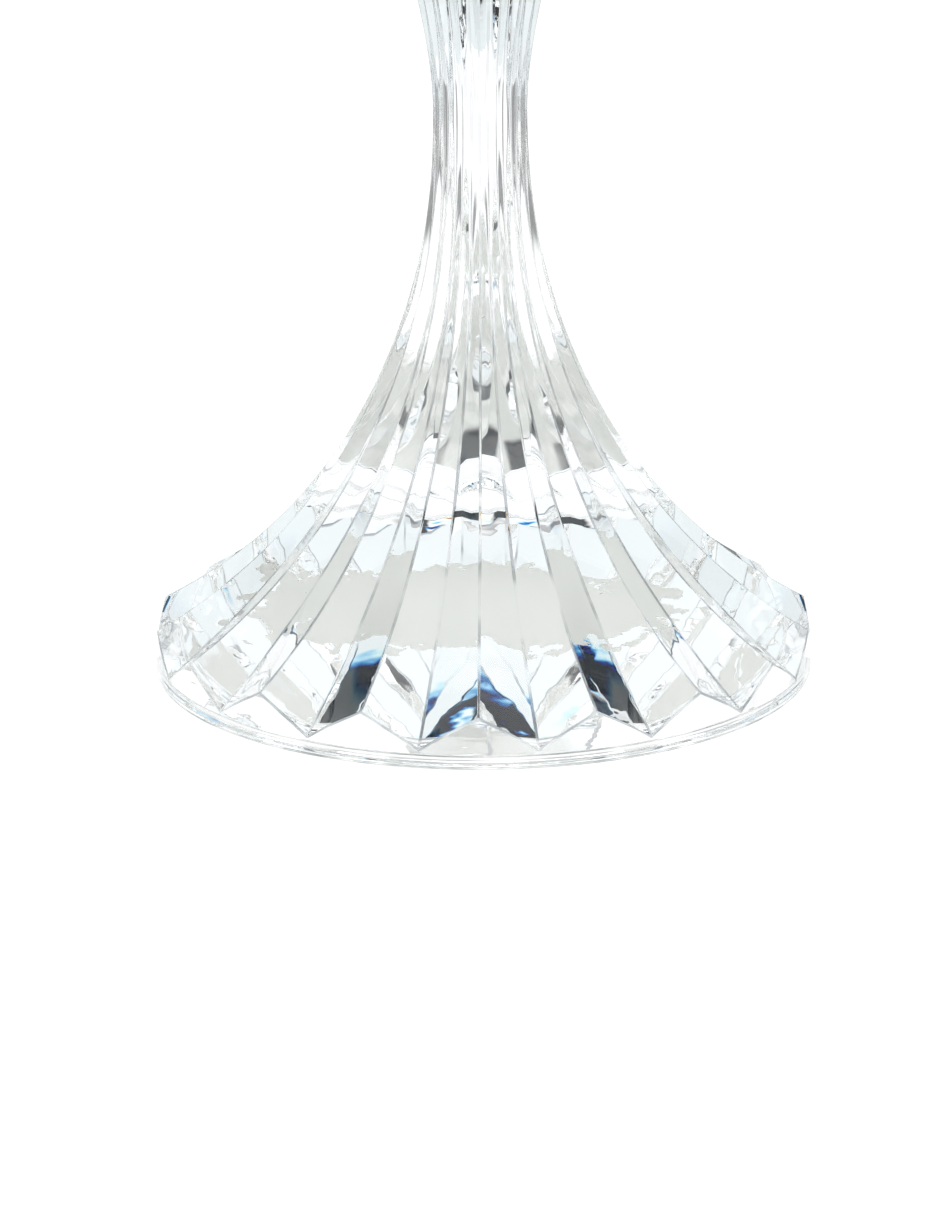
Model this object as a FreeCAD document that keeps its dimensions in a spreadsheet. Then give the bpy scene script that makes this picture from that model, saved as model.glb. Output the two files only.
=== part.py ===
import FreeCAD, Part
import math
import os
import re
import Sketcher

# Pleated crystal candlestick, in millimetres, +Z up, standing on z = 0 on its own axis.
# A pleated foot runs into a slim stem, which carries a pleated cup on a cemented spigot.
# A thin metal sleeve for the candle drops into the cup's bore and hangs on a soft ring.
# A thin felt pad sits in a shallow round recess under the foot, clear of the table.

doc = FreeCAD.newDocument("glass_candlestick")

# --- Driving sizes -----------------------------------------------------------------------
# Each row is an alias, its value and what it means. Lengths are in millimetres.
DRIVING_SIZES = [
    ("overall_height", 178.0, "height of the cup's rim above the table"),
    ("pleats", 18, "number of pleats around the foot and the cup"),
    ("foot_radius", 57.5, "radius of the foot's upright edge"),
    ("foot_ridge_end", 9.2, "height where the ridges run out on the foot's edge"),
    ("foot_valley_end", 3.4, "height where the valleys run out on the foot's edge"),
    ("foot_chamfer", 1.0, "small bevel around the foot's bottom edge"),
    ("foot_ridge_power", 2.2, "how steadily the ridges flare from the waist"),
    ("foot_lip_share", 0.19, "part of the ridges' flare that comes only near the edge"),
    ("foot_lip_power", 8.0, "how late that last part of the flare comes"),
    ("foot_valley_power", 2.55, "how the valleys flare from the waist"),
    ("recess_radius", 50.0, "radius of the shallow recess under the foot"),
    ("recess_depth", 1.0, "depth of the recess under the foot"),
    ("felt_thickness", 0.6, "thickness of the felt pad in the recess"),
    ("felt_clearance", 1.0, "gap around the felt pad in the recess"),
    ("waist_height", 100.0, "height of the narrowest part"),
    ("waist_ridge_radius", 8.2, "ridge radius at the waist"),
    ("waist_valley_radius", 7.8, "valley radius at the waist"),
    ("joint_height", 124.0, "height of the cemented joint"),
    ("spigot_radius", 5.0, "radius of the spigot on the stem"),
    ("spigot_length", 8.0, "length of the spigot on the stem"),
    ("cement_film", 0.15, "thickness of the cement all around the spigot"),
    ("cement_radius", 9.6, "radius of the cement between the two flat faces"),
    ("cup_radius", 30.5, "radius of the cup's upright edge"),
    ("cup_ridge_drop", 7.0, "how far below the rim the cup's ridges run out"),
    ("cup_valley_drop", 1.6, "how far below the rim the cup's valleys run out"),
    ("cup_ridge_power", 1.62, "how the cup's ridges flare from the waist"),
    ("cup_valley_power", 1.72, "how the cup's valleys flare from the waist"),
    ("cup_chamfer", 0.8, "small bevel around the cup's rim"),
    ("rim_width", 3.0, "width of the flat ring on top of the cup"),
    ("dish_depth", 6.0, "depth of the dish around the candle"),
    ("seat_width", 5.3, "width of the flat seat around the cup's bore"),
    ("candle_radius", 11.1, "radius of the candle's foot"),
    ("candle_clearance", 0.2, "gap between the candle and the sleeve"),
    ("sleeve_wall", 0.5, "thickness of the sleeve's wall and flange"),
    ("sleeve_depth", 23.0, "depth of the sleeve's bore"),
    ("sleeve_clearance", 0.4, "gap between the sleeve and the cup's bore"),
    ("floor_clearance", 1.2, "gap between the sleeve's floor and the bore's floor"),
    ("flange_width", 3.7, "width of the flange around the sleeve"),
    ("mouth_bead", 0.9, "height of the rolled bead on the flange's edge"),
    ("ring_clearance", 0.1, "gap between the soft ring and the sleeve"),
    ("ring_width", 2.4, "width of the soft ring under the flange"),
    ("ring_thickness", 1.0, "thickness of the soft ring under the flange"),
]

sheet = doc.addObject("Spreadsheet::Sheet", "Sizes")
for row, (alias, value, meaning) in enumerate(DRIVING_SIZES, start=1):
    sheet.set("A%d" % row, meaning)
    sheet.set("B%d" % row, str(value))
    sheet.setAlias("B%d" % row, alias)
doc.recompute()


def size(alias):
    """The number in the sheet's cell of that name."""
    return float(sheet.get(alias))


def bound(expression):
    """The expression with every size name pointed at the sheet."""
    return re.sub(r"\b[a-z][a-z_]+\b", r"Sizes.\g<0>", expression)


def value_of(expression):
    """The number that a sheet expression gives, worked out by a spare cell."""
    sheet.set("D1", "=" + expression)
    sheet.recompute()
    number = float(sheet.get("D1"))
    sheet.set("D1", "")
    return number


# --- Small helpers for bodies and sketches -----------------------------------------------
def origin_plane(body, role):
    """The body's own origin plane with that role."""
    return next(feature for feature in body.Origin.OriginFeatures if feature.Role == role)


def new_body(name):
    body = doc.addObject("PartDesign::Body", name)
    body.Label = name
    return body


def new_sketch(body, name, role, height="0"):
    """A sketch on one of the body's origin planes, lifted by an expression."""
    sketch = body.newObject("Sketcher::SketchObject", name)
    sketch.AttachmentSupport = (origin_plane(body, role), [""])
    sketch.MapMode = "FlatFace"
    if height != "0":
        sketch.AttachmentOffset = FreeCAD.Placement(
            FreeCAD.Vector(0, 0, value_of(height)), FreeCAD.Rotation())
        sketch.setExpression("AttachmentOffset.Base.z", bound(height))
    return sketch


def outline(body, name, corners):
    """A closed half section on the XZ plane, to be turned about the Z axis.

    Each corner is a pair of expressions, the radius and the height.
    """
    sketch = new_sketch(body, name, "XZ_Plane")
    points = [FreeCAD.Vector(value_of(radius), value_of(height), 0) for radius, height in corners]
    for index, start in enumerate(points):
        sketch.addGeometry(Part.LineSegment(start, points[(index + 1) % len(points)]), False)
    for index, (radius, height) in enumerate(corners):
        before = (index - 1) % len(corners)
        sketch.addConstraint(Sketcher.Constraint("Coincident", before, 2, index, 1))
        pin_corner(sketch, index, radius, height, points[index])
    return sketch


def pin_corner(sketch, side, radius, height, point):
    """Ties the start of a side to its radius and its height."""
    for kind, axis_distance, expression in (("DistanceX", point.x, radius),
                                            ("DistanceY", point.y, height)):
        if expression == "0":
            axis = -2 if kind == "DistanceX" else -1
            sketch.addConstraint(Sketcher.Constraint("PointOnObject", side, 1, axis))
            continue
        number = sketch.addConstraint(Sketcher.Constraint(kind, -1, 1, side, 1, axis_distance))
        sketch.setExpression("Constraints[%d]" % number, bound(expression))


def star_section(body, name, height, ridge, valley):
    """A star of straight sides whose points lie on the ridge and the valley circles."""
    sketch = new_sketch(body, name, "XY_Plane", height)
    origin = FreeCAD.Vector(0, 0, 0)
    up = FreeCAD.Vector(0, 0, 1)
    radii = (value_of(ridge), value_of(valley))
    corners = 2 * int(size("pleats"))
    points = []
    for index in range(corners):
        turn = -math.pi / 2 + index * 2 * math.pi / corners
        reach = radii[index % 2]
        points.append(FreeCAD.Vector(reach * math.cos(turn), reach * math.sin(turn), 0))
    for index in range(corners):
        sketch.addGeometry(Part.LineSegment(points[index], points[(index + 1) % corners]), False)
    for reach in radii:
        sketch.addGeometry(Part.Circle(origin, up, reach), True)
    rules = []
    for circle in (corners, corners + 1):
        rules.append(Sketcher.Constraint("Coincident", circle, 3, -1, 1))
    for index in range(corners):
        rules.append(Sketcher.Constraint("Coincident", index - 1 if index else corners - 1, 2, index, 1))
        rules.append(Sketcher.Constraint("PointOnObject", index, 1, corners + index % 2))
    rules.append(Sketcher.Constraint("PointOnObject", 0, 1, -2))
    for index in range(1, corners):
        rules.append(Sketcher.Constraint("Equal", 0, index))
    sketch.addConstraint(rules)
    for circle, (word, expression) in enumerate((("ridge", ridge), ("valley", valley))):
        number = sketch.addConstraint(
            Sketcher.Constraint("Radius", corners + circle, radii[circle]))
        sketch.renameConstraint(number, word)
        sketch.setExpression("Constraints." + word, bound(expression))
    return sketch


def pleated_loft(body, name, sections):
    """A smooth solid through star sections, each a height, a ridge and a valley."""
    stars = [star_section(body, "%s_section_%d" % (name, number), *section)
             for number, section in enumerate(sections, start=1)]
    loft = body.newObject("PartDesign::AdditiveLoft", name)
    loft.Profile = stars[0]
    loft.Sections = stars[1:]
    loft.Ruled = False
    loft.Closed = False
    doc.recompute()
    return loft


def turned(body, kind, name, profile):
    """A full turn of a half section about the Z axis, added or cut away."""
    feature = body.newObject("PartDesign::" + kind, name)
    feature.Profile = profile
    feature.ReferenceAxis = (origin_plane(body, "Z_Axis"), [""])
    feature.Angle = 360
    before = feature.BaseFeature.Shape.Volume if feature.BaseFeature else 0.0
    doc.recompute()
    changed = feature.Shape.Volume - before
    if (kind == "Groove") != (changed < 0):
        raise RuntimeError("%s changed the solid by %.3f mm3" % (name, changed))
    return feature


def pocketed(body, name, sketch, depth):
    """A round pocket cut upwards from the sketch's plane."""
    feature = body.newObject("PartDesign::Pocket", name)
    feature.Profile = sketch
    feature.Reversed = True
    feature.Length = value_of(depth)
    feature.setExpression("Length", bound(depth))
    before = feature.BaseFeature.Shape.Volume
    doc.recompute()
    if feature.Shape.Volume >= before:
        raise RuntimeError(name + " cut nothing")
    return feature


def padded(body, name, sketch, length):
    """A round boss raised upwards from the sketch's plane."""
    feature = body.newObject("PartDesign::Pad", name)
    feature.Profile = sketch
    feature.Length = value_of(length)
    feature.setExpression("Length", bound(length))
    doc.recompute()
    return feature


def round_sketch(body, name, height, radius):
    sketch = new_sketch(body, name, "XY_Plane", height)
    circle = Part.Circle(FreeCAD.Vector(0, 0, 0), FreeCAD.Vector(0, 0, 1), value_of(radius))
    sketch.addGeometry(circle, False)
    sketch.addConstraint(Sketcher.Constraint("Coincident", 0, 3, -1, 1))
    number = sketch.addConstraint(Sketcher.Constraint("Radius", 0, value_of(radius)))
    sketch.setExpression("Constraints[%d]" % number, bound(radius))
    return sketch


# --- The rule for the flare ----------------------------------------------------------------
# Ridges and valleys each grow from the waist by a power of the distance from it. The foot's
# ridges have a second, later power, which lifts them into a lip near the edge.
def foot_share(height, end):
    return "((waist_height - (%s)) / (waist_height - %s))" % (height, end)


def foot_ridge(height):
    share = foot_share(height, "foot_ridge_end")
    flare = "((1 - foot_lip_share) * %s ^ foot_ridge_power + foot_lip_share * %s ^ foot_lip_power)"
    return "waist_ridge_radius + (foot_radius - waist_ridge_radius) * " + flare % (share, share)


def foot_valley(height):
    share = foot_share(height, "foot_valley_end")
    return ("waist_valley_radius + (foot_radius - waist_valley_radius) * %s ^ foot_valley_power"
            % share)


def cup_curve(height, drop, waist, power):
    share = "(((%s) - waist_height) / (overall_height - %s - waist_height))" % (height, drop)
    return "%s + (cup_radius - %s) * %s ^ %s" % (waist, waist, share, power)


def cup_ridge(height):
    return cup_curve(height, "cup_ridge_drop", "waist_ridge_radius", "cup_ridge_power")


def cup_valley(height):
    return cup_curve(height, "cup_valley_drop", "waist_valley_radius", "cup_valley_power")


# Places of the sections, as shares of the way from the table to the waist, from the waist to
# the joint and from the joint to the rim.
FOOT_SHARES = (0.0, 0.085, 0.17, 0.26, 0.37, 0.5, 0.65, 0.82)
NECK_SHARES = (0.0, 0.5, 1.0)
CUP_SHARES = (0.0, 0.25, 0.5, 0.75, 1.0)

foot_heights = ["waist_height * %g" % share for share in FOOT_SHARES]
neck_heights = ["waist_height + (joint_height - waist_height) * %g" % share for share in NECK_SHARES]
CUP_START = "(joint_height + cement_film)"
cup_heights = ["%s + (overall_height - %s) * %g" % (CUP_START, CUP_START, share)
               for share in CUP_SHARES]

# --- Foot and stem -------------------------------------------------------------------------
foot_and_stem = new_body("foot_and_stem")
pleated_loft(foot_and_stem, "pleated_trumpet",
             [(height, foot_ridge(height), foot_valley(height)) for height in foot_heights]
             + [(height, cup_ridge(height), cup_valley(height)) for height in neck_heights])

# The foot's edge is upright, with a small bevel at the table. The cut reaches from below the
# table to just above the ridges' ends, and outwards past the widest section.
CUT_MARGIN = "2"
EDGE_REACH = "foot_radius * 1.5"
edge_outline = outline(foot_and_stem, "edge_outline", [
    ("foot_radius - foot_chamfer", "-%s" % CUT_MARGIN),
    (EDGE_REACH, "-%s" % CUT_MARGIN),
    (EDGE_REACH, "foot_ridge_end + %s" % CUT_MARGIN),
    ("foot_radius", "foot_ridge_end + %s" % CUT_MARGIN),
    ("foot_radius", "foot_chamfer"),
    ("foot_radius - foot_chamfer", "0"),
])
turned(foot_and_stem, "Groove", "upright_edge", edge_outline)

# The underside is flat glass around a shallow round recess for the pad.
recess_circle = round_sketch(foot_and_stem, "recess_circle", "0", "recess_radius")
pocketed(foot_and_stem, "pad_recess", recess_circle, "recess_depth")

spigot_circle = round_sketch(foot_and_stem, "spigot_circle", "joint_height", "spigot_radius")
padded(foot_and_stem, "spigot", spigot_circle, "spigot_length")

# --- Candle cup ------------------------------------------------------------------------------
candle_cup = new_body("candle_cup")
pleated_loft(candle_cup, "pleated_cup",
             [(height, cup_ridge(height), cup_valley(height)) for height in cup_heights])

RIM_REACH = "cup_radius * 1.5"
rim_outline = outline(candle_cup, "rim_outline", [
    ("cup_radius - cup_chamfer", "overall_height + %s" % CUT_MARGIN),
    ("cup_radius - cup_chamfer", "overall_height"),
    ("cup_radius", "overall_height - cup_chamfer"),
    ("cup_radius", "overall_height - cup_ridge_drop - %s" % CUT_MARGIN),
    (RIM_REACH, "overall_height - cup_ridge_drop - %s" % CUT_MARGIN),
    (RIM_REACH, "overall_height + %s" % CUT_MARGIN),
])
turned(candle_cup, "Groove", "upright_rim", rim_outline)

# The dish slopes from the rim's flat ring to a flat seat, and the bore goes down from there.
SLEEVE_INSIDE = "candle_radius + candle_clearance"
SLEEVE_OUTSIDE = SLEEVE_INSIDE + " + sleeve_wall"
BORE_RADIUS = SLEEVE_OUTSIDE + " + sleeve_clearance"
SEAT_RADIUS = BORE_RADIUS + " + seat_width"
SEAT_HEIGHT = "overall_height - dish_depth"
FLANGE_HEIGHT = SEAT_HEIGHT + " + ring_thickness"
SLEEVE_FLOOR = FLANGE_HEIGHT + " + sleeve_wall - sleeve_depth"
BORE_FLOOR = SLEEVE_FLOOR + " - sleeve_wall - floor_clearance"
dish_outline = outline(candle_cup, "dish_outline", [
    ("0", BORE_FLOOR),
    (BORE_RADIUS, BORE_FLOOR),
    (BORE_RADIUS, SEAT_HEIGHT),
    (SEAT_RADIUS, SEAT_HEIGHT),
    ("cup_radius - rim_width", "overall_height"),
    ("cup_radius - rim_width", "overall_height + %s" % CUT_MARGIN),
    ("0", "overall_height + %s" % CUT_MARGIN),
])
turned(candle_cup, "Groove", "dish_and_bore", dish_outline)

socket_circle = round_sketch(candle_cup, "socket_circle", CUP_START, "spigot_radius + cement_film")
pocketed(candle_cup, "spigot_socket", socket_circle, "spigot_length")

# --- Cement in the joint -----------------------------------------------------------------------
# A thin hat: a washer between the flat faces, a tube around the spigot and a disc on its end.
joint_cement = new_body("joint_cement")
cement_outline = outline(joint_cement, "cement_outline", [
    ("cement_radius", "joint_height"),
    ("cement_radius", CUP_START),
    ("spigot_radius + cement_film", CUP_START),
    ("spigot_radius + cement_film", CUP_START + " + spigot_length"),
    ("0", CUP_START + " + spigot_length"),
    ("0", "joint_height + spigot_length"),
    ("spigot_radius", "joint_height + spigot_length"),
    ("spigot_radius", "joint_height"),
])
turned(joint_cement, "Revolution", "cement_hat", cement_outline)

# --- Candle sleeve -------------------------------------------------------------------------------
candle_sleeve = new_body("candle_sleeve")
FLANGE_RADIUS = SLEEVE_OUTSIDE + " + flange_width"
sleeve_outline = outline(candle_sleeve, "sleeve_outline", [
    ("0", SLEEVE_FLOOR + " - sleeve_wall"),
    (SLEEVE_OUTSIDE, SLEEVE_FLOOR + " - sleeve_wall"),
    (SLEEVE_OUTSIDE, FLANGE_HEIGHT),
    (FLANGE_RADIUS, FLANGE_HEIGHT),
    (FLANGE_RADIUS, FLANGE_HEIGHT + " + mouth_bead"),
    (FLANGE_RADIUS + " - sleeve_wall", FLANGE_HEIGHT + " + mouth_bead"),
    (FLANGE_RADIUS + " - sleeve_wall", FLANGE_HEIGHT + " + sleeve_wall"),
    (SLEEVE_INSIDE, FLANGE_HEIGHT + " + sleeve_wall"),
    (SLEEVE_INSIDE, SLEEVE_FLOOR),
    ("0", SLEEVE_FLOOR),
])
turned(candle_sleeve, "Revolution", "spun_sleeve", sleeve_outline)

# --- Soft ring under the flange --------------------------------------------------------------------
sleeve_cushion = new_body("sleeve_cushion")
RING_INSIDE = SLEEVE_OUTSIDE + " + ring_clearance"
cushion_outline = outline(sleeve_cushion, "cushion_outline", [
    (RING_INSIDE, SEAT_HEIGHT),
    (RING_INSIDE + " + ring_width", SEAT_HEIGHT),
    (RING_INSIDE + " + ring_width", FLANGE_HEIGHT),
    (RING_INSIDE, FLANGE_HEIGHT),
])
turned(sleeve_cushion, "Revolution", "flat_ring", cushion_outline)

# --- Felt pad under the foot ---------------------------------------------------------------------------
base_pad = new_body("base_pad")
felt_circle = round_sketch(base_pad, "felt_circle", "recess_depth - felt_thickness",
                           "recess_radius - felt_clearance")
padded(base_pad, "felt_disc", felt_circle, "felt_thickness")

doc.recompute()

# --- Checks and files --------------------------------------------------------------------------------
SUB_PARTS = (foot_and_stem, candle_cup, joint_cement, candle_sleeve, sleeve_cushion, base_pad)

for item in doc.Objects:
    if "Invalid" in item.State or "Error" in item.State:
        raise RuntimeError("%s failed: %s" % (item.Name, item.State))

os.makedirs("parts", exist_ok=True)
for part in SUB_PARTS:
    shape = part.Shape
    if shape.isNull() or not shape.isValid() or len(shape.Solids) != 1:
        raise RuntimeError(part.Label + " isn't one valid solid")
    shape.exportStep("parts/%s.step" % part.Label)
    box = shape.BoundBox
    print("%-16s volume %9.1f mm3, z %7.2f to %7.2f, reach %6.2f mm" % (
        part.Label, shape.Volume, box.ZMin, box.ZMax, max(box.XMax, box.YMax)))
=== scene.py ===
# %% [markdown]
# # A pleated glass candlestick
# This file is a lesson in cells. It builds the visible model of a heavy glass candlestick: a foot
# that flares like a pleated skirt, a slim waist, and a cup that opens again above it.
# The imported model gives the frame: where each part is, how large it is, and what it moves with.

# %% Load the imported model
import math

import bpy
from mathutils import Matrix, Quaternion, Vector


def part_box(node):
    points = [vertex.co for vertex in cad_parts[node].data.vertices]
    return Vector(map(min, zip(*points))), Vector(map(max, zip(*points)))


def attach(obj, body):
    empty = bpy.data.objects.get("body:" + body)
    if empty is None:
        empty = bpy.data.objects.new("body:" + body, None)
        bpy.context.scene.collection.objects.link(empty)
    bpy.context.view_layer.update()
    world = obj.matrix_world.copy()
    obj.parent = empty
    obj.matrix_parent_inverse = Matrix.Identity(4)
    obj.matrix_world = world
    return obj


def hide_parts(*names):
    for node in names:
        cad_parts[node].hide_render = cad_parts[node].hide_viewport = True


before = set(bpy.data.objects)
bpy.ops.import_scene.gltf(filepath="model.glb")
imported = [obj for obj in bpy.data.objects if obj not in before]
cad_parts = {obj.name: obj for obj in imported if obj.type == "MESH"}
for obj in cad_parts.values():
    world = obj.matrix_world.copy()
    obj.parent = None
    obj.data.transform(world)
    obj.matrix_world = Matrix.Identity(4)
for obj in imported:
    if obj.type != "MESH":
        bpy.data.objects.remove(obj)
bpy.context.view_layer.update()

MM = 0.001
scene = bpy.context.scene

# %% [markdown]
# ## Camera
# Glass is judged by what is seen through it, so the camera comes first. A long lens from almost a
# metre away keeps the foot's two sides nearly parallel, as in a catalogue picture. The camera is
# placed by two angles and a distance, and then aimed a little above the middle of the foot. It
# leans by less than half a degree, as a camera on a tripod often does.

# %% Camera
CAMERA_DISTANCE = 925.6 * MM
CAMERA_ABOVE = math.radians(18.20)
CAMERA_ASIDE = math.radians(0.92)
AIM_UP, AIM_LEFT = 9.72 * MM, 2.35 * MM
CAMERA_TILT = math.radians(-0.40)

camera_data = bpy.data.cameras.new("camera")
camera_data.lens = 155.8
camera_data.sensor_width = 36.0
camera_data.sensor_fit = "AUTO"
camera = bpy.data.objects.new("camera", camera_data)
scene.collection.objects.link(camera)
scene.camera = camera

flat_reach = CAMERA_DISTANCE * math.cos(CAMERA_ABOVE)
camera.location = (flat_reach * math.sin(CAMERA_ASIDE), -flat_reach * math.cos(CAMERA_ASIDE),
                   CAMERA_DISTANCE * math.sin(CAMERA_ABOVE))
sight = -camera.location.normalized()
rightward = sight.cross(Vector((0, 0, 1))).normalized()
upward = rightward.cross(sight)
aim = upward * AIM_UP - rightward * AIM_LEFT
aimed = (aim - camera.location).to_track_quat("-Z", "Y")
camera.rotation_euler = (aimed @ Quaternion((0, 0, 1), CAMERA_TILT)).to_euler()
print("camera at", [round(c, 4) for c in camera.location], "lens", camera_data.lens)

# %% [markdown]
# ## Small helpers for node trees
# Shader nodes and Geometry Nodes share the same Math node, so one helper serves both. `add_node`
# makes a node and plugs its inputs. `Number` lets Python's own + - * / ** write Math nodes, so a
# rule for a shape or a pattern reads like the formula that it is. The others make what nearly
# every material needs: noise, a mix of two colours, bumps and the Principled shader.

# %% Node helpers
def add_node(tree, kind, inputs=None, **settings):
    """A new node with its settings made and its inputs linked or given a value."""
    made = tree.nodes.new(kind)
    for name, value in settings.items():
        setattr(made, name, value)
    for key, value in (inputs or {}).items():
        value = value.socket if isinstance(value, Number) else value
        if isinstance(value, bpy.types.NodeSocket):
            tree.links.new(value, made.inputs[key])
        else:
            made.inputs[key].default_value = value
    return made


class Number:
    """A value that changes over a surface, or over directions in the world."""

    def __init__(self, tree, socket):
        self.tree, self.socket = tree, socket

    def do(self, operation, *others):
        made = add_node(self.tree, "ShaderNodeMath", dict(enumerate((self, *others))),
                        operation=operation)
        return Number(self.tree, made.outputs[0])

    def __add__(self, other):
        return self.do("ADD", other)

    def __sub__(self, other):
        return self.do("SUBTRACT", other)

    def __mul__(self, other):
        return self.do("MULTIPLY", other)

    def __truediv__(self, other):
        return self.do("DIVIDE", other)

    def __pow__(self, other):
        return self.do("POWER", other)

    def __neg__(self):
        return self.do("MULTIPLY", -1.0)

    def step(self, low, high, start=0.0, end=1.0):
        """Goes smoothly from start to end while this value goes from low to high."""
        made = add_node(self.tree, "ShaderNodeMapRange",
                        {"Value": self, "From Min": low, "From Max": high,
                         "To Min": start, "To Max": end}, interpolation_type="SMOOTHSTEP")
        return Number(self.tree, made.outputs["Result"])

    def mix(self, zero, one):
        """zero where this value is 0, and one where it is 1."""
        swapped = isinstance(zero, Number) and not isinstance(one, Number)
        return self * (-zero + one if swapped else one - zero) + zero


def axes_of(tree, place):
    """The x, y and z of a place or a direction, each as a Number."""
    split = add_node(tree, "ShaderNodeSeparateXYZ", {0: place})
    return [Number(tree, split.outputs[i]) for i in range(3)]


def noise(tree, place, scale, detail=2.0, roughness=0.5):
    """Soft random spots, from 0 to 1."""
    made = add_node(tree, "ShaderNodeTexNoise", {"Vector": place, "Scale": scale,
                                                 "Detail": detail, "Roughness": roughness})
    return Number(tree, made.outputs["Fac"])


def blend(tree, factor, zero, one):
    """The colour zero where factor is 0, and the colour one where it is 1."""
    made = add_node(tree, "ShaderNodeMix", {"Factor": factor, "A": zero, "B": one},
                    data_type="RGBA")
    return made.outputs["Result"]


def bumps(tree, height, distance, strength=1.0):
    """A normal that makes the surface look as if it rose by distance where height is 1."""
    made = add_node(tree, "ShaderNodeBump",
                    {"Height": height, "Strength": strength, "Distance": distance})
    return made.outputs[0]


def new_material(name):
    """An empty material and its node tree."""
    made = bpy.data.materials.new(name)
    made.use_nodes = True
    made.node_tree.nodes.clear()
    return made, made.node_tree


def object_place(tree):
    """Where each point lies on its own piece."""
    return add_node(tree, "ShaderNodeTexCoord").outputs["Object"]


def shade(tree, inputs):
    """Gives the material a Principled BSDF with these inputs."""
    shader = add_node(tree, "ShaderNodeBsdfPrincipled", inputs)
    add_node(tree, "ShaderNodeOutputMaterial", {"Surface": shader.outputs[0]})


def new_group(name, kind, inputs, outputs):
    """A node group with these named sockets, and its input and output nodes."""
    tree = bpy.data.node_groups.new(name, kind)
    for direction, sockets in (("INPUT", inputs), ("OUTPUT", outputs)):
        for title, (kind_of_socket, value) in sockets.items():
            socket = tree.interface.new_socket(title, in_out=direction,
                                               socket_type="NodeSocket" + kind_of_socket)
            if value is not None:
                socket.default_value = value
    return tree, tree.nodes.new("NodeGroupInput"), tree.nodes.new("NodeGroupOutput")


print("helpers ready")

# %% [markdown]
# ## Studio
# The table is a plain white board, so bright that it hardly takes a shadow: it gives off light of
# its own. Glass also looks sideways at the board, past the edges of the picture, and there it
# should find something dark to draw its outlines with. So the board has two flags: dark fields to
# the left and the right of a white strip. Under the foot the board is a little darker: a painted
# shadow. Only light that has already met the glass sees the flags and the painted shadow, which
# the Is Camera Ray switch of the Light Path node arranges.

# %% Table
TABLE_FRONT, TABLE_BACK, TABLE_SIDE, TABLE_TOP = -0.29, 2.5, 0.9, -0.05 * MM
FLAG_SLANT, FLAG_NEAR, FLAG_FAR = (0.44, 0.58), (0.13, 0.17), (0.9, 1.1)
FLAG_LIGHT, FOOT_SHADOW_LIGHT = 0.2, 0.93
# Painted shadow: the board's light is dimmed inside this radius, under the foot.
FOOT_SHADOW_EDGE = (50 * MM, 57 * MM)

table_mesh = bpy.data.meshes.new("table")
table_mesh.from_pydata([(-TABLE_SIDE, TABLE_FRONT, TABLE_TOP), (TABLE_SIDE, TABLE_FRONT, TABLE_TOP),
                        (TABLE_SIDE, TABLE_BACK, TABLE_TOP), (-TABLE_SIDE, TABLE_BACK, TABLE_TOP)],
                       [], [(0, 1, 2, 3)])
table = bpy.data.objects.new("table", table_mesh)
scene.collection.objects.link(table)

board, board_tree = new_material("white_board")
board_x, board_y, _ = axes_of(board_tree, object_place(board_tree))
outwards = (board_x * board_x + board_y * board_y).do("SQRT")
slant = board_x.do("ABSOLUTE") / board_y.do("ABSOLUTE")
flags = slant.step(*FLAG_SLANT) * outwards.step(*FLAG_NEAR) * outwards.step(*FLAG_FAR, 1.0, 0.0)
# The flags and the painted shadow under the foot dim the board.
dimmed = flags.mix(1.0, FLAG_LIGHT) * outwards.step(*FOOT_SHADOW_EDGE, FOOT_SHADOW_LIGHT, 1.0)
light_path = add_node(board_tree, "ShaderNodeLightPath")
shown = Number(board_tree, light_path.outputs["Is Camera Ray"]).mix(dimmed, 1.0)
shade(board_tree, {"Base Color": (0.1, 0.1, 0.1, 1), "Roughness": 1.0, "Specular IOR Level": 0.0,
                   "Emission Color": (1, 1, 1, 1), "Emission Strength": shown})
table_mesh.materials.append(board)
print("table", TABLE_SIDE * 2, "m wide")

# %% [markdown]
# Round the table stands a World made of bands. Clear glass has no colour of its own, so these bands
# are what draws it: each facet picks one direction and shows what it finds there. A white wall goes
# up to 28 degrees, and two narrow boards that lean on it stand a little higher. Then comes a dark
# gap, and above it the light of the ceiling. A short streak of light hangs in the gap behind the
# piece, and a narrow dark card stands at each side. The three colours of light get slightly
# different edges, because glass bends blue more than red, and that makes the coloured fringes of
# crystal. The wall's top edge has the widest one, with blue on the dark side.

# %% Sizes of the World
# Directions to either side are in degrees from straight behind the piece, or, for what stands at
# the sides, a share of the way from behind (0) to the side (1).
MIDDLE = -2.0
STREAK_REACH, LAMPS_FROM, FAR_LAMPS_FROM = (6.3, 7.0), (15.0, 16.0), (41.0, 45.0)
END_WALL_REACH, CARD_REACH, FRONT_FROM = (0.90, 0.98), (0.96, 0.98), (-0.75, -0.45)
# Each leaning board: its left edge, its right edge and how far it stands over the wall.
LEANING_BOARDS = (((7.5, 8.5), (12.0, 12.6), 4.0), ((-16.0, -15.4), (-12.8, -12.0), 2.5))
# Heights are in degrees too, from the start to the end of each soft edge.
WALL_TOP, STREAK_BOTTOM, STREAK_TOP = (28.0, 31.0), (36.2, 36.8), (38.4, 39.0)
LAMPS_BOTTOM, FAR_LAMPS_BOTTOM = (36.0, 37.0), (39.5, 40.5)
CEILING_EDGE, BRIGHT_CEILING, CARD_TOP = (46.0, 48.0), (52.0, 70.0), (18.0, 24.0)
SIDE_RISE, FRONT_RISE = (42.0, 60.0), (20.0, 60.0)
CEILING_LIGHT, SIDE_LIGHT, FRONT_LIGHT, CARD_LIGHT = 1.8, 2.7, 1.75, 0.06
FRINGE = {"R": -0.2, "G": 0.0, "B": 0.2}
WALL_FRINGE = -3
WALL_LIGHT = {"R": 0.90, "G": 0.955, "B": 0.965}
DARKNESS = {"R": 0.008, "G": 0.013, "B": 0.018}
LIGHT_BOUNCES = 24

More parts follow.
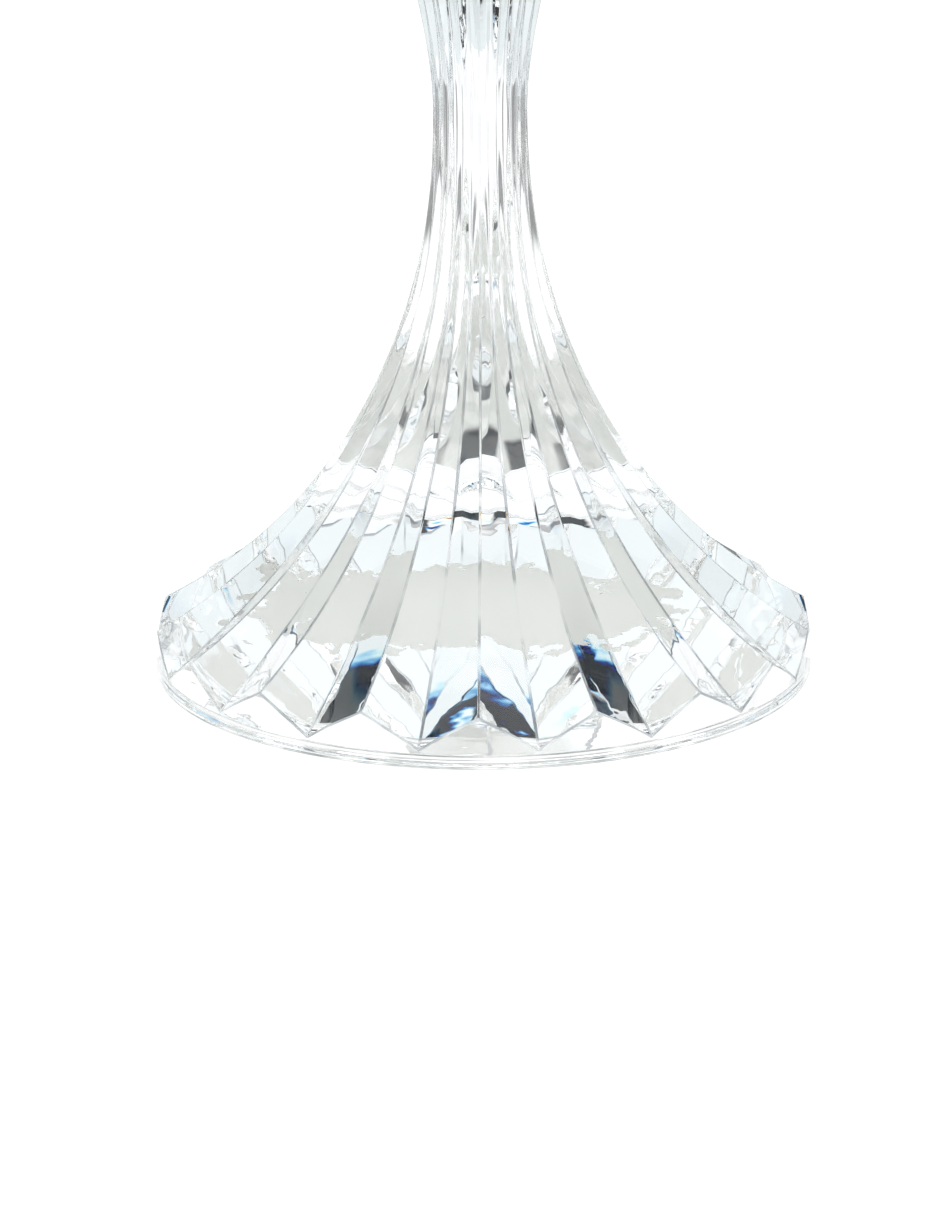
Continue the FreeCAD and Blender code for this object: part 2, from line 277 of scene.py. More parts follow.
# %% World
world = bpy.data.worlds.new("studio")
world.use_nodes = True
scene.world = world
studio = world.node_tree
studio.nodes.clear()
direction = add_node(studio, "ShaderNodeTexCoord").outputs["Generated"]
east, north, height = axes_of(studio, direction)
elevation = height.do("ARCSINE") * (180 / math.pi)
heading = (east / north).do("ARCTANGENT") * (180 / math.pi)
off_centre = (heading - MIDDLE).do("ABSOLUTE")
sideways = (east / ((east * east + north * north + 1e-6).do("SQRT"))).do("ABSOLUTE")
end_wall = sideways.step(*END_WALL_REACH, 1.0, 0.0)
to_camera = north.step(*FRONT_FROM, 1.0, 0.0)
cards = sideways.step(*CARD_REACH) * elevation.step(*CARD_TOP, 1.0, 0.0)
centre = off_centre.step(*STREAK_REACH, 1.0, 0.0)
outer = off_centre.step(*LAMPS_FROM)
far = off_centre.step(*FAR_LAMPS_FROM)
wall_height = elevation
for left_edge, right_edge, taller in LEANING_BOARDS:
    wall_height -= heading.step(*left_edge) * heading.step(*right_edge, 1.0, 0.0) * taller

channels = {}
for channel, shift in FRINGE.items():
    angle = elevation + shift
    wall = (wall_height + WALL_FRINGE * shift).step(*WALL_TOP, WALL_LIGHT[channel],
                                                   DARKNESS[channel])
    ceiling = angle.step(*CEILING_EDGE)
    above = angle.step(*BRIGHT_CEILING, 0.0, CEILING_LIGHT)
    streak = angle.step(*STREAK_BOTTOM) * angle.step(*STREAK_TOP, 1.0, 0.0) * centre
    lamps = angle.step(*LAMPS_BOTTOM) * outer * far.mix(1.0, angle.step(*FAR_LAMPS_BOTTOM))
    behind = wall + ceiling.do("MAXIMUM", streak).do("MAXIMUM", lamps) + above
    sides = angle.step(*SIDE_RISE, WALL_LIGHT[channel], SIDE_LIGHT)
    front = angle.step(*FRONT_RISE, WALL_LIGHT[channel], FRONT_LIGHT)
    around_piece = to_camera.mix(end_wall.mix(sides, behind), front)
    channels[channel] = cards.mix(around_piece, CARD_LIGHT)
light = add_node(studio, "ShaderNodeCombineColor",
                 {"Red": channels["R"], "Green": channels["G"], "Blue": channels["B"]})
lamp = add_node(studio, "ShaderNodeBackground", {"Color": light.outputs[0], "Strength": 1.0})
plain = add_node(studio, "ShaderNodeBackground", {"Color": (1, 1, 1, 1), "Strength": 1.0})
seen = add_node(studio, "ShaderNodeLightPath").outputs["Is Camera Ray"]
choice = add_node(studio, "ShaderNodeMixShader", {0: seen, 1: lamp.outputs[0], 2: plain.outputs[0]})
add_node(studio, "ShaderNodeOutputWorld", {"Surface": choice.outputs[0]})
scene.view_settings.view_transform = "Standard"
for limit in ("max_bounces", "diffuse_bounces", "glossy_bounces", "transmission_bounces"):
    setattr(scene.cycles, limit, LIGHT_BOUNCES)
print("world ready")

# %% [markdown]
# ## Turned blanks
# Each piece starts as a blank turned on a lathe: an outline of radius and height spun round the
# z axis. The helper closes the ends at the axis and keeps the faces pointing outwards. Points that
# belong to the pleated wall carry a `wall` number from 0 to 1, which the pleating tree reads. When
# its modifiers have done their work, `bake` keeps the result as a plain mesh.

# %% Turned blank
OFF_WALL = -1.0


def turned_blank(name, outline, angles, wall_rows=None):
    """A closed mesh of revolution. outline is (radius, height) points from axis to axis.
    wall_rows maps a row of the outline to its number along the pleated wall."""
    vertices, rows, wall = [], [], []
    for number, (radius, height) in enumerate(outline):
        if radius == 0:
            rows.append([len(vertices)])
            vertices.append((0, 0, height))
        else:
            rows.append(list(range(len(vertices), len(vertices) + len(angles))))
            vertices += [(radius * math.cos(a), radius * math.sin(a), height) for a in angles]
        wall += [(wall_rows or {}).get(number, OFF_WALL)] * len(rows[-1])
    faces = []
    if outline[0] == outline[-1]:
        rows[-1] = rows[0]
        del vertices[-len(angles):], wall[-len(angles):]
    for low, high in zip(rows, rows[1:]):
        for i in range(len(angles)):
            j = (i + 1) % len(angles)
            if len(low) == 1:
                faces.append((low[0], high[j], high[i]))
            elif len(high) == 1:
                faces.append((low[i], low[j], high[0]))
            else:
                faces.append((low[i], low[j], high[j], high[i]))
    mesh = bpy.data.meshes.new(name)
    mesh.from_pydata(vertices, [], faces)
    if wall_rows:
        mesh.attributes.new("wall", "FLOAT", "POINT").data.foreach_set("value", wall)
    mesh.update()
    piece = bpy.data.objects.new(name, mesh)
    scene.collection.objects.link(piece)
    return piece


def wall_number(tree):
    """Reads the `wall` number of each point, or OFF_WALL."""
    read = add_node(tree, "GeometryNodeInputNamedAttribute", {"Name": "wall"}, data_type="FLOAT")
    return Number(tree, read.outputs["Attribute"])


def bake(blank, name):
    """Turns a blank with its modifiers into a plain mesh object at the origin."""
    made = bpy.data.meshes.new_from_object(
        blank.evaluated_get(bpy.context.evaluated_depsgraph_get()))
    made.name = name
    bpy.data.objects.remove(blank)
    piece = bpy.data.objects.new(name, made)
    scene.collection.objects.link(piece)
    return piece


print("turned blanks ready")

# %% [markdown]
# ## The pleat rule
# The foot is pressed in a mould with eighteen pleats. Seen from above, a slice is a star: straight
# lines from each ridge to the valleys beside it. Two curves rule the whole shape, one for the
# ridges and one for the valleys, each a power of the height above or below the waist. Because the
# shape follows a rule, Geometry Nodes can make it: the sizes stay as named inputs, and a change
# to one of them changes the whole piece.

# %% Sizes of the pleats
foot_high = Vector(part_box("foot_and_stem")[1])
cup_low, cup_high = (Vector(c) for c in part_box("candle_cup"))
cement_low, cement_high = (Vector(c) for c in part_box("joint_cement"))
PLEATS = 18
FOOT_RADIUS = foot_high.x
CUP_RADIUS = cup_high.x
JOINT_HEIGHT = cement_low.z
CUP_START = cup_low.z
RIM_HEIGHT = cup_high.z
SPIGOT_TOP = foot_high.z
RULE_SIZES = {
    "Waist Height": 100 * MM, "Waist Ridge Radius": 8.2 * MM, "Waist Valley Radius": 7.8 * MM,
    "Foot Radius": FOOT_RADIUS, "Foot Ridge End": 9.2 * MM, "Foot Valley End": 3.4 * MM,
    "Foot Ridge Power": 2.2, "Foot Lip Share": 0.19, "Foot Lip Power": 8.0,
    "Foot Valley Power": 2.55,
    "Cup Radius": CUP_RADIUS, "Cup Ridge End": 171 * MM, "Cup Valley End": 176.4 * MM,
    "Cup Ridge Power": 1.62, "Cup Valley Power": 1.72,
}
print("foot radius", FOOT_RADIUS, "cup radius", CUP_RADIUS, "joint", JOINT_HEIGHT, CUP_START)

# %% The rule as a node group
rule, rule_in, rule_out = new_group(
    "pleat_rule", "GeometryNodeTree",
    {"Height": ("Float", 0.0), "Turn": ("Float", 0.0), "Pleats": ("Int", PLEATS),
     **{name: ("Float", value) for name, value in RULE_SIZES.items()}},
    {"Radius": ("Float", None)})
given = {socket.name: Number(rule, socket) for socket in rule_in.outputs if socket.name}


def flare(end_radius, end_height, start_radius, power, lip=None):
    """How far the curve has gone from the waist at this height."""
    share = ((given["Height"] - given["Waist Height"])
             / (given[end_height] - given["Waist Height"])).do("MAXIMUM", 0.0)
    grown = share ** given[power]
    if lip:
        late = share ** given["Foot Lip Power"]
        grown = given["Foot Lip Share"].mix(grown, late)
    return (given[end_radius] - given[start_radius]) * grown


ridge = (given["Waist Ridge Radius"]
         + flare("Foot Radius", "Foot Ridge End", "Waist Ridge Radius", "Foot Ridge Power", True)
         + flare("Cup Radius", "Cup Ridge End", "Waist Ridge Radius", "Cup Ridge Power"))
valley = (given["Waist Valley Radius"]
          + flare("Foot Radius", "Foot Valley End", "Waist Valley Radius", "Foot Valley Power")
          + flare("Cup Radius", "Cup Valley End", "Waist Valley Radius", "Cup Valley Power"))
half_pleat = given["Pleats"] ** -1.0 * math.pi
past_ridge = given["Turn"] * half_pleat
to_valley = half_pleat - past_ridge
radius = (ridge * valley * half_pleat.do("SINE")
          / (ridge * past_ridge.do("SINE") + valley * to_valley.do("SINE")))
rule.links.new(radius.socket, rule_out.inputs["Radius"])
print("pleat rule has", len(rule.nodes), "nodes")

# %% [markdown]
# ## The pleating tree
# The tree takes a turned blank and presses the pleats into its wall. Each point keeps its angle
# and gets its radius from the rule. Where the pleats run out on the upright edge, the line between
# them is a zigzag, and no formula gives its height, so a Repeat Zone finds it by halving: it looks
# in the middle of a stretch and keeps the half that holds the crossing.

# %% The pleating tree
HALVINGS = 16
pleater, pleater_in, pleater_out = new_group(
    "press_pleats", "GeometryNodeTree",
    {"Blank": ("Geometry", None), "Pleats": ("Int", PLEATS),
     **{name: ("Float", value) for name, value in RULE_SIZES.items()},
     "Edge Radius": ("Float", 0.0), "Edge Search From": ("Float", 0.0),
     "Edge Search To": ("Float", 0.0), "Plain End Height": ("Float", 0.0),
     "Glass": ("Material", None)},
    {"Pleated": ("Geometry", None)})
sizes = {socket.name: Number(pleater, socket) for socket in pleater_in.outputs if socket.name}
x, y, _ = axes_of(pleater, pleater.nodes.new("GeometryNodeInputPosition").outputs[0])
around = y.do("ARCTAN2", x)
turn = ((around + math.pi / 2) * sizes["Pleats"] / math.pi).do("PINGPONG", 1.0)


def ruled_radius(height):
    """The star's radius at this height, as a group node that gets every size by name."""
    made = add_node(pleater, "GeometryNodeGroup", node_tree=rule)
    for socket in made.inputs:
        if socket.name in sizes:
            pleater.links.new(sizes[socket.name].socket, socket)
    pleater.links.new(height.socket, made.inputs["Height"])
    pleater.links.new(turn.socket, made.inputs["Turn"])
    return Number(pleater, made.outputs["Radius"])


search_in = pleater.nodes.new("GeometryNodeRepeatInput")
search_out = pleater.nodes.new("GeometryNodeRepeatOutput")
search_in.pair_with_output(search_out)
search_out.repeat_items.clear()
for title in ("Inside", "Outside"):
    search_out.repeat_items.new("FLOAT", title)
search_in.inputs["Iterations"].default_value = HALVINGS
pleater.links.new(sizes["Edge Search From"].socket, search_in.inputs["Inside"])
pleater.links.new(sizes["Edge Search To"].socket, search_in.inputs["Outside"])
inside, outside = (Number(pleater, search_in.outputs[title]) for title in ("Inside", "Outside"))
middle = (inside + outside) * 0.5
crossed = ruled_radius(middle).do("GREATER_THAN", sizes["Edge Radius"])
pleater.links.new(crossed.mix(middle, inside).socket, search_out.inputs["Inside"])
pleater.links.new(crossed.mix(outside, middle).socket, search_out.inputs["Outside"])
edge_height = Number(pleater, search_out.outputs["Inside"])

wall = wall_number(pleater)
on_wall = wall.do("GREATER_THAN", OFF_WALL / 2)
new_height = wall.mix(sizes["Plain End Height"], edge_height)
new_radius = ruled_radius(new_height).do("MINIMUM", sizes["Edge Radius"])
new_place = add_node(pleater, "ShaderNodeCombineXYZ",
                     {0: new_radius * around.do("COSINE"), 1: new_radius * around.do("SINE"),
                      2: new_height})
pressed = add_node(pleater, "GeometryNodeSetPosition",
                   {"Geometry": sizes["Blank"], "Selection": on_wall,
                    "Position": new_place.outputs[0]})
smooth = add_node(pleater, "GeometryNodeSetShadeSmooth", {"Geometry": pressed.outputs[0]})
real = add_node(pleater, "GeometryNodeRealizeInstances", {"Geometry": smooth.outputs[0]})
glazed = add_node(pleater, "GeometryNodeSetMaterial",
                  {"Geometry": real.outputs[0], "Material": sizes["Glass"]})
pleater.links.new(glazed.outputs[0], pleater_out.inputs["Pleated"])
print("pleating tree has", len(pleater.nodes), "nodes")

# %% [markdown]
# ## Clear crystal
# Heavy crystal bends light more than window glass does, so its index is a little higher. Pressed
# and fire-polished faces are not quite flat: they swell and dip by a few hundredths of a
# millimetre, and that makes everything seen through them waver. Noise stretched along the pleats,
# fed to a Bump node, does that. The rounded edges are narrow lenses that gather stray light from
# everywhere, so they read as fine grey lines. Here that is painted shade: the base colour turns
# grey on the faces that the mesh marks with the `rounded` attribute, less so towards the top, and
# a second noise lets the painted lines come and go.

# %% Glass materials
RIPPLE, RIPPLE_SIZE = 0.035 * MM, 170.0
CLEAR, EDGE_SHADE_GREY = (0.985, 0.995, 1.0, 1), (0.26, 0.28, 0.30, 1)
EDGE_SHADE_FADE, TOP_EDGE_SHADE = (45 * MM, 90 * MM), 0.35

crystal, crystal_tree = new_material("crystal")
crystal_place = object_place(crystal_tree)
drawn_out = add_node(crystal_tree, "ShaderNodeMapping",
                     {"Vector": crystal_place, "Scale": (1, 1, 0.45)}).outputs[0]
swell = noise(crystal_tree, drawn_out, RIPPLE_SIZE, 1.5, 0.4)
rounded = Number(crystal_tree, add_node(crystal_tree, "ShaderNodeAttribute",
                                        attribute_name="rounded").outputs["Fac"])
edge_shade_breakup = noise(crystal_tree, crystal_place, 110.0).step(0.40, 0.62, 0.12, 1.0)
crystal_up = axes_of(crystal_tree, crystal_place)[2]
# Painted shade: the rounded edges' colour turns grey, broken up by noise and paler towards the top.
painted_edge_shade = rounded * edge_shade_breakup * crystal_up.step(*EDGE_SHADE_FADE, 1.0, TOP_EDGE_SHADE)
shade(crystal_tree, {"Base Color": blend(crystal_tree, painted_edge_shade, CLEAR, EDGE_SHADE_GREY),
                     "Roughness": 0.0, "IOR": 1.545, "Transmission Weight": 1.0,
                     "Normal": bumps(crystal_tree, swell, RIPPLE)})

cement, cement_tree = new_material("clear_cement")
shade(cement_tree, {"Base Color": (1, 1, 1, 1), "Roughness": 0.0, "IOR": 1.001,
                    "Transmission Weight": 1.0})
print("glass materials ready")

# %% [markdown]
# ## Foot and stem
# One pressed piece of glass: the flat underside with its shallow recess for the felt, a small
# bevel, the upright edge, the pleated wall up to the joint, and the spigot inside the cup.
# Each facet needs only a few columns of points, because it is straight across. A Bevel modifier
# gives the fire polish: it rounds the ridges and the valleys by about a quarter of a millimetre,
# and it marks the faces that it makes by a material number, which is turned into an attribute.

# %% Pleated pieces
FACET_SHARES = (0.0, 0.34, 0.5, 0.66)
pleat_angles = [-math.pi / 2 + math.pi / PLEATS * (facet + share)
                for facet in range(2 * PLEATS) for share in FACET_SHARES]
FIRE_POLISH, SHARP_PLEAT = 0.28 * MM, math.radians(15)
CLOSE = 0.02 * MM


def inputs_by_name(modifier, tree, values):
    """Sets a Geometry Nodes modifier's inputs through their sockets' identifiers."""
    for socket in tree.interface.items_tree:
        if socket.item_type == "SOCKET" and socket.name in values:
            modifier[socket.identifier] = values[socket.name]


def pleated_piece(name, blank, values, bonded, polished=True):
    """Presses the blank, rounds its edges and returns it as a plain mesh at the origin."""
    press = blank.modifiers.new("pleats", "NODES")
    press.node_group = pleater
    inputs_by_name(press, pleater, {"Pleats": PLEATS, "Glass": crystal, **RULE_SIZES, **values})
    if polished:
        for slot in range(2):
            blank.data.materials.append(crystal)
        polish = blank.modifiers.new("fire_polish", "BEVEL")
        polish.width = FIRE_POLISH
        polish.segments = 3
        polish.material = 1
        polish.limit_method = "ANGLE"
        polish.angle_limit = SHARP_PLEAT
        polish.use_clamp_overlap = False
    even = blank.modifiers.new("even_light", "WEIGHTED_NORMAL")
    even.weight = 90
    even.keep_sharp = True
    piece = bake(blank, name)
    made = piece.data
    rounded = [float(face.material_index == 1) for face in made.polygons]
    made.attributes.new("rounded", "FLOAT", "FACE").data.foreach_set("value", rounded)
    made.materials.clear()
    made.materials.append(crystal)
    made.materials.append(cement)
    for face in made.polygons:
        face.material_index = 1 if bonded(face) else 0
    low, high = (pick(v.co.z for v in made.vertices) for pick in (min, max))
    print(name, len(made.polygons), "faces,", int(sum(rounded)), "of them rounded, from",
          round(low, 5), "to", round(high, 5))
    return piece


# %% Foot and stem
WALL_ROWS = 110
SPIGOT_RADIUS = 5.0 * MM
RECESS_RADIUS, RECESS_DEPTH = 50 * MM, 1.0 * MM
CHAMFER = 0.4 * MM

foot_outline = [(0, RECESS_DEPTH), (RECESS_RADIUS, RECESS_DEPTH), (RECESS_RADIUS, 0),
                (FOOT_RADIUS - CHAMFER, 0), (FOOT_RADIUS, CHAMFER)]
first = len(foot_outline)
foot_outline += [(FOOT_RADIUS, CHAMFER + 1e-4 + i * MM) for i in range(WALL_ROWS + 1)]
foot_wall = {first + i: 1 - i / WALL_ROWS for i in range(WALL_ROWS + 1)}
foot_outline += [(SPIGOT_RADIUS, JOINT_HEIGHT), (SPIGOT_RADIUS, SPIGOT_TOP), (0, SPIGOT_TOP)]
foot = pleated_piece(
    "foot_glass", turned_blank("foot_blank", foot_outline, pleat_angles, foot_wall),
    {"Edge Radius": FOOT_RADIUS, "Edge Search From": 14 * MM, "Edge Search To": 0.0,
     "Plain End Height": JOINT_HEIGHT},
    lambda face: face.center.z > JOINT_HEIGHT - CLOSE and (
        face.normal.z > 0.9 or face.center.z > JOINT_HEIGHT + CLOSE))

# %% Cup
RIM_CHAMFER, RIM_WIDTH, DISH_DEPTH = 0.8 * MM, 3.0 * MM, 6.0 * MM
SEAT_RADIUS, BORE_RADIUS, BORE_FLOOR = 17.5 * MM, 12.2 * MM, 148.8 * MM
SOCKET_RADIUS, SOCKET_TOP = 5.15 * MM, cement_high.z
CUP_ROWS = 54

cup_outline = [(0, SOCKET_TOP), (SOCKET_RADIUS, SOCKET_TOP), (SOCKET_RADIUS, CUP_START)]
first = len(cup_outline)
cup_outline += [(CUP_RADIUS, CUP_START + i * MM) for i in range(CUP_ROWS + 1)]
cup_wall = {first + i: i / CUP_ROWS for i in range(CUP_ROWS + 1)}
cup_outline += [(CUP_RADIUS, RIM_HEIGHT - RIM_CHAMFER), (CUP_RADIUS - RIM_CHAMFER, RIM_HEIGHT),
                (CUP_RADIUS - RIM_WIDTH, RIM_HEIGHT), (SEAT_RADIUS, RIM_HEIGHT - DISH_DEPTH),
                (BORE_RADIUS, RIM_HEIGHT - DISH_DEPTH), (BORE_RADIUS, BORE_FLOOR),
                (0, BORE_FLOOR)]
cup = pleated_piece(
    "cup_glass", turned_blank("cup_blank", cup_outline, pleat_angles, cup_wall),
    {"Edge Radius": CUP_RADIUS, "Edge Search From": 160 * MM, "Edge Search To": 180 * MM,
     "Plain End Height": CUP_START},
    lambda face: face.center.z < CUP_START + CLOSE and face.normal.z < -0.9 or (
        face.center.z < SOCKET_TOP + CLOSE
        and math.hypot(face.center.x, face.center.y) < SOCKET_RADIUS + CLOSE))

# %% [markdown]
# ## Cement in the joint
# The foot's spigot is glued into the cup's socket with a clear cement that bends light almost as
# glass does, so the joint disappears. In a render, light that crosses from glass to cement sees
# only the small step between the two, so this material has an index close to 1, and the faces that
# are glued share it. The film is the same star as the glass around it, pressed by the same tree.

# %% Cement film
film_outline = [(0, SPIGOT_TOP), (SPIGOT_RADIUS, SPIGOT_TOP), (SPIGOT_RADIUS, JOINT_HEIGHT)]
first = len(film_outline)
film_outline += [(CUP_RADIUS, JOINT_HEIGHT), (CUP_RADIUS, CUP_START)]
film_outline += [(SOCKET_RADIUS, CUP_START), (SOCKET_RADIUS, SOCKET_TOP), (0, SOCKET_TOP)]
film_wall = {first: 0, first + 1: 1}
film = pleated_piece(
    "cement_film", turned_blank("film_blank", film_outline, pleat_angles, film_wall),
    {"Edge Radius": CUP_RADIUS, "Edge Search From": CUP_START, "Edge Search To": CUP_START,
     "Plain End Height": JOINT_HEIGHT}, lambda face: True, polished=False)

# %% [markdown]
# ## Candle sleeve
# A thin metal sleeve holds the candle and lifts out for cleaning. It is spun from sheet: a straight
# tube with a flat floor, a wide flange and a small upright bead around the flange. Fine rings from
# the spinning tool run round it. It is turned from an outline, like a pot on a wheel, and a Bevel
# modifier softens its edges.

# %% Turned pieces
def round_angles(count):
    """Evenly spaced angles around the axis."""
    return [2 * math.pi * i / count for i in range(count)]


def turned_piece(name, outline, material, edge):
    """Turns the outline, rounds its edges and returns a plain mesh at the origin."""
    blank = turned_blank(name + "_blank", outline, round_angles(128))
    for face in blank.data.polygons:
        face.use_smooth = True
    soften = blank.modifiers.new("edges", "BEVEL")
    soften.width = edge
    soften.segments = 3
    soften.limit_method = "ANGLE"
    soften.angle_limit = math.radians(30)
    blank.modifiers.new("even_light", "WEIGHTED_NORMAL").weight = 90
    piece = bake(blank, name)
    piece.data.materials.clear()
    piece.data.materials.append(material)
    print(name, len(piece.data.polygons), "faces")
    return piece


# %% Spun metal
TOOL_RINGS = 9000.0
DULL, BRIGHT = (0.80, 0.80, 0.80, 1), (0.88, 0.875, 0.86, 1)

metal, metal_tree = new_material("spun_metal")
metal_place = object_place(metal_tree)
mx, my, mz = axes_of(metal_tree, metal_place)
from_axis = (mx * mx + my * my).do("SQRT")
tool_rings = ((from_axis + mz) * TOOL_RINGS).do("SINE")
smudge = noise(metal_tree, metal_place, 220.0, 4.0)
shade(metal_tree, {"Base Color": blend(metal_tree, smudge, DULL, BRIGHT), "Metallic": 1.0,
                   "Roughness": smudge.step(0.3, 0.7, 0.20, 0.34),
                   "Normal": bumps(metal_tree, tool_rings, 0.01 * MM, 0.25)})

# %% Candle sleeve
sleeve_low, sleeve_high = (Vector(c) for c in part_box("candle_sleeve"))
SLEEVE_WALL, CANDLE_BORE, FLANGE_HEIGHT = 0.5 * MM, 11.3 * MM, 173 * MM
FLANGE_RADIUS = sleeve_high.x
tube_radius = CANDLE_BORE + SLEEVE_WALL
sleeve = turned_piece("candle_sleeve_spun", [
    (0, sleeve_low.z), (tube_radius, sleeve_low.z), (tube_radius, FLANGE_HEIGHT),
    (FLANGE_RADIUS, FLANGE_HEIGHT), (FLANGE_RADIUS, sleeve_high.z),
    (FLANGE_RADIUS - SLEEVE_WALL, sleeve_high.z),
    (FLANGE_RADIUS - SLEEVE_WALL, FLANGE_HEIGHT + SLEEVE_WALL),
    (CANDLE_BORE, FLANGE_HEIGHT + SLEEVE_WALL), (CANDLE_BORE, sleeve_low.z + SLEEVE_WALL),
    (0, sleeve_low.z + SLEEVE_WALL)], metal, 0.15 * MM)

# %% [markdown]
# ## Soft ring
# Metal would chip the glass, so a flat milky silicone ring lies between the flange and the seat.
# It is turned too. Silicone lets light wander inside it, which subsurface scattering shows.

# %% Soft ring
MILKY, MILKY_LIGHT = (0.80, 0.81, 0.80, 1), (0.88, 0.88, 0.86, 1)

silicone, silicone_tree = new_material("milky_silicone")
bloom = noise(silicone_tree, object_place(silicone_tree), 400.0, 3.0)
shade(silicone_tree, {"Base Color": blend(silicone_tree, bloom, MILKY, MILKY_LIGHT),
                      "Roughness": 0.45, "Subsurface Weight": 0.4, "Subsurface Scale": 0.6 * MM,
                      "Normal": bumps(silicone_tree, bloom, 0.02 * MM, 0.3)})

ring_low, ring_high = (Vector(c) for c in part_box("sleeve_cushion"))
RING_INSIDE = 11.9 * MM
ring = turned_piece("soft_ring", [
    (RING_INSIDE, ring_low.z), (ring_high.x, ring_low.z), (ring_high.x, ring_high.z),
    (RING_INSIDE, ring_high.z), (RING_INSIDE, ring_low.z)], silicone, 0.25 * MM)

# %% [markdown]
# ## Felt pad
# A thin round of felt is glued into the recess, so that the foot doesn't scratch the table. Where
# the glue has wetted the glass, the felt shows through it. Everywhere else a film of air lies
# between them, and light that comes down at a slant is thrown back up as by a mirror.
# The felt's top stands a hair inside the glass where it is wet and a hair below it where it is dry.
# Noise decides where, so the patch gets a ragged edge, and Geometry Nodes can do that to a blank.
# Two dark patches of painted shade lie near the back edge of the felt, and the facets repeat them.

# %% The felt tree
pad_low, pad_high = (Vector(c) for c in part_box("base_pad"))
FELT_SIZES = {"Glass Height": RECESS_DEPTH, "Patch X": -3 * MM, "Patch Y": 4 * MM,
              "Patch Half Width": 34 * MM, "Patch Half Depth": 20 * MM,
              "Raggedness": 0.8, "Grain": 150.0, "Lift": 0.03 * MM}
PATCH_EDGE = 8.0

settler, settler_in, settler_out = new_group(
    "settle_felt", "GeometryNodeTree",
    {"Blank": ("Geometry", None), **{n: ("Float", v) for n, v in FELT_SIZES.items()},
     "Felt": ("Material", None)}, {"Settled": ("Geometry", None)})
felt_sizes = {socket.name: Number(settler, socket)
              for socket in settler_in.outputs if socket.name}
felt_place = settler.nodes.new("GeometryNodeInputPosition").outputs[0]
fx, fy, _ = axes_of(settler, felt_place)
across = (fx - felt_sizes["Patch X"]) / felt_sizes["Patch Half Width"]
along = (fy - felt_sizes["Patch Y"]) / felt_sizes["Patch Half Depth"]
from_patch = (across ** 2.0 + along ** 2.0).do("SQRT")
blots = noise(settler, felt_place, felt_sizes["Grain"], 5.0, 0.6)
wetness = -from_patch + 1.0 + (blots - 0.5) * felt_sizes["Raggedness"] * 2.0
rise = (wetness * PATCH_EDGE).do("MAXIMUM", -1.0).do("MINIMUM", 1.0) * felt_sizes["Lift"]
on_top = wall_number(settler).do("GREATER_THAN", OFF_WALL / 2)
felt_top = add_node(settler, "ShaderNodeCombineXYZ",
                    {0: fx, 1: fy, 2: felt_sizes["Glass Height"] + rise})
settled = add_node(settler, "GeometryNodeSetPosition",
                   {"Geometry": felt_sizes["Blank"], "Selection": on_top,
                    "Position": felt_top.outputs[0]})
felt_real = add_node(settler, "GeometryNodeRealizeInstances", {"Geometry": settled.outputs[0]})
felt_done = add_node(settler, "GeometryNodeSetMaterial",
                     {"Geometry": felt_real.outputs[0], "Material": felt_sizes["Felt"]})
settler.links.new(felt_done.outputs[0], settler_out.inputs["Settled"])
print("felt tree has", len(settler.nodes), "nodes")

# %% Felt material
# The last colour and the sizes below make painted shade: two dark patches near the felt's back
# edge.
CREAM, PALE_CREAM, FELT_SHADE_DARK = (0.93, 0.925, 0.86, 1), (0.98, 0.975, 0.93, 1), (0.03, 0.035, 0.04, 1)
SHADE_PATCHES_MIDDLE, SHADE_PATCHES_APART, SHADE_PATCH_EDGE = -2 * MM, 18 * MM, (3 * MM, 4.5 * MM)
SHADE_PATCHES_FROM_AXIS, SHADE_PATCHES_FROM_FRONT = (36 * MM, 39 * MM), (26 * MM, 32 * MM)

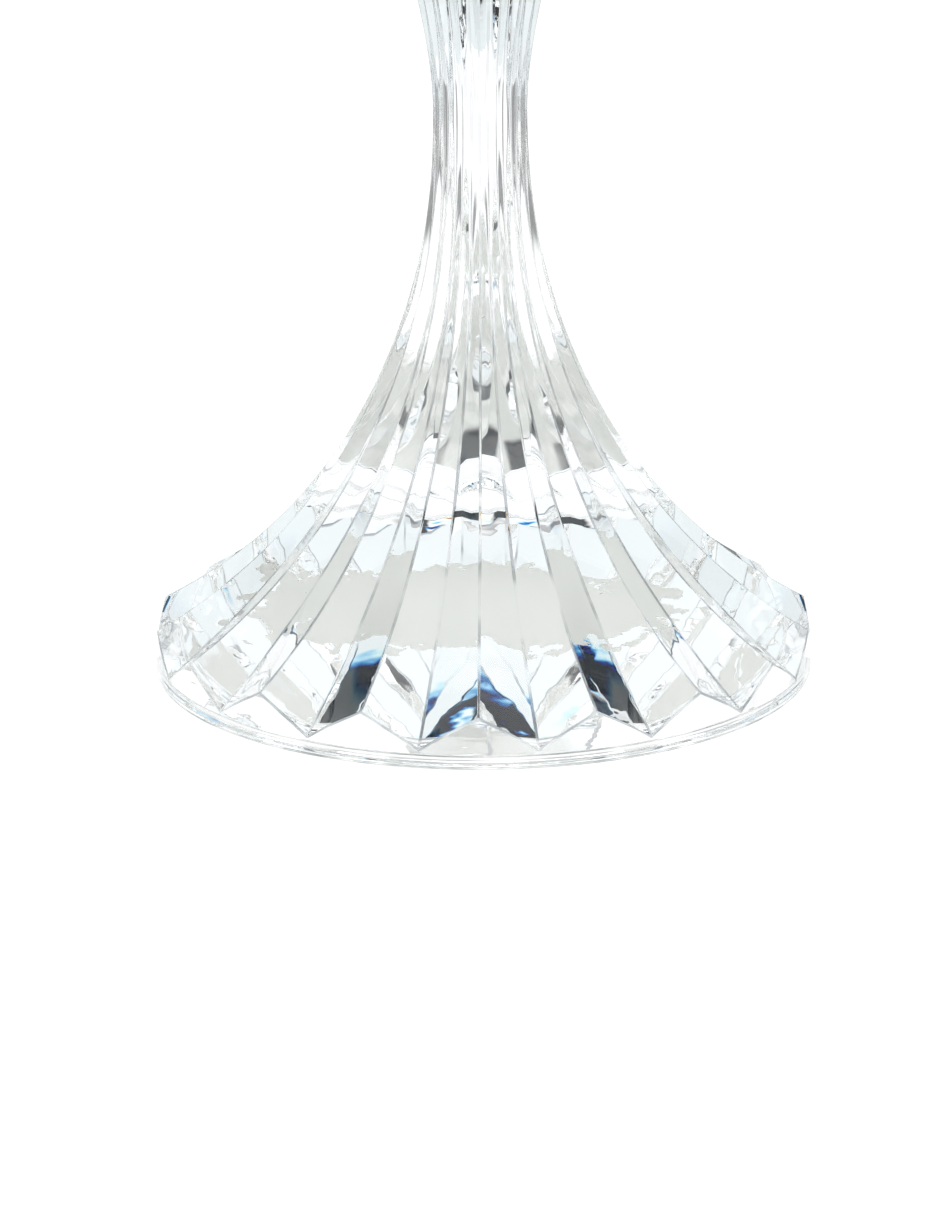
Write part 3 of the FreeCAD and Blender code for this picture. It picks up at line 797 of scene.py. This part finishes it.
felt, felt_tree = new_material("pressed_felt")
felt_spot = object_place(felt_tree)
fibres = noise(felt_tree, felt_spot, 900.0, 6.0, 0.7)
clouds = noise(felt_tree, felt_spot, 90.0, 3.0)
felt_colour = blend(felt_tree, fibres * 0.5 + clouds * 0.5, CREAM, PALE_CREAM)
spot_x, spot_y, _ = axes_of(felt_tree, felt_spot)
spot_out = (spot_x * spot_x + spot_y * spot_y).do("SQRT")
# Painted shade: two dark patches near the back edge of the felt, seen through the facets.
from_shade_patches = ((spot_x - SHADE_PATCHES_MIDDLE).do("ABSOLUTE") - SHADE_PATCHES_APART).do("ABSOLUTE")
shade_patches = (from_shade_patches.step(*SHADE_PATCH_EDGE, 1.0, 0.0) * spot_out.step(*SHADE_PATCHES_FROM_AXIS)
          * spot_y.step(*SHADE_PATCHES_FROM_FRONT))
shade(felt_tree, {"Base Color": blend(felt_tree, shade_patches, felt_colour, FELT_SHADE_DARK),
                  "Roughness": 0.95, "Specular IOR Level": 0.1, "Sheen Weight": 0.1,
                  "Normal": bumps(felt_tree, fibres, 0.05 * MM, 0.4)})

# %% Felt pad
FELT_RINGS, FELT_SPOKES = 110, 400
pad_outline = [(0, pad_low.z), (pad_high.x, pad_low.z)]
first = len(pad_outline)
pad_outline += [(pad_high.x * (1 - i / FELT_RINGS), RECESS_DEPTH) for i in range(FELT_RINGS + 1)]
pad_blank = turned_blank("felt_blank", pad_outline, round_angles(FELT_SPOKES),
                         {first + i: 0 for i in range(FELT_RINGS + 1)})
settle = pad_blank.modifiers.new("settle", "NODES")
settle.node_group = settler
inputs_by_name(settle, settler, {**FELT_SIZES, "Felt": felt})
pad = bake(pad_blank, "felt_pad")
pad.data.materials.clear()
pad.data.materials.append(felt)
print("felt pad", len(pad.data.polygons), "faces")

# %% [markdown]
# ## Hand over
# Each row names a finished piece, the body it moves with, the imported part it stands for and a
# finish of the record. Each piece is attached to its body, and the imported part is hidden. The
# glass, the cement and the felt stay together, and the sleeve lifts out with its ring.

# %% Hand over
for piece, body, node, finish in (
        (foot, "candlestick", "foot_and_stem", "crystal"),
        (cup, "candlestick", "candle_cup", "crystal"),
        (film, "candlestick", "joint_cement", "clear_cement"),
        (pad, "candlestick", "base_pad", "pad_felt"),
        (sleeve, "sleeve", "candle_sleeve", "sleeve_metal"),
        (ring, "sleeve", "sleeve_cushion", "soft_ring")):
    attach(piece, body)
    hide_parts(node)
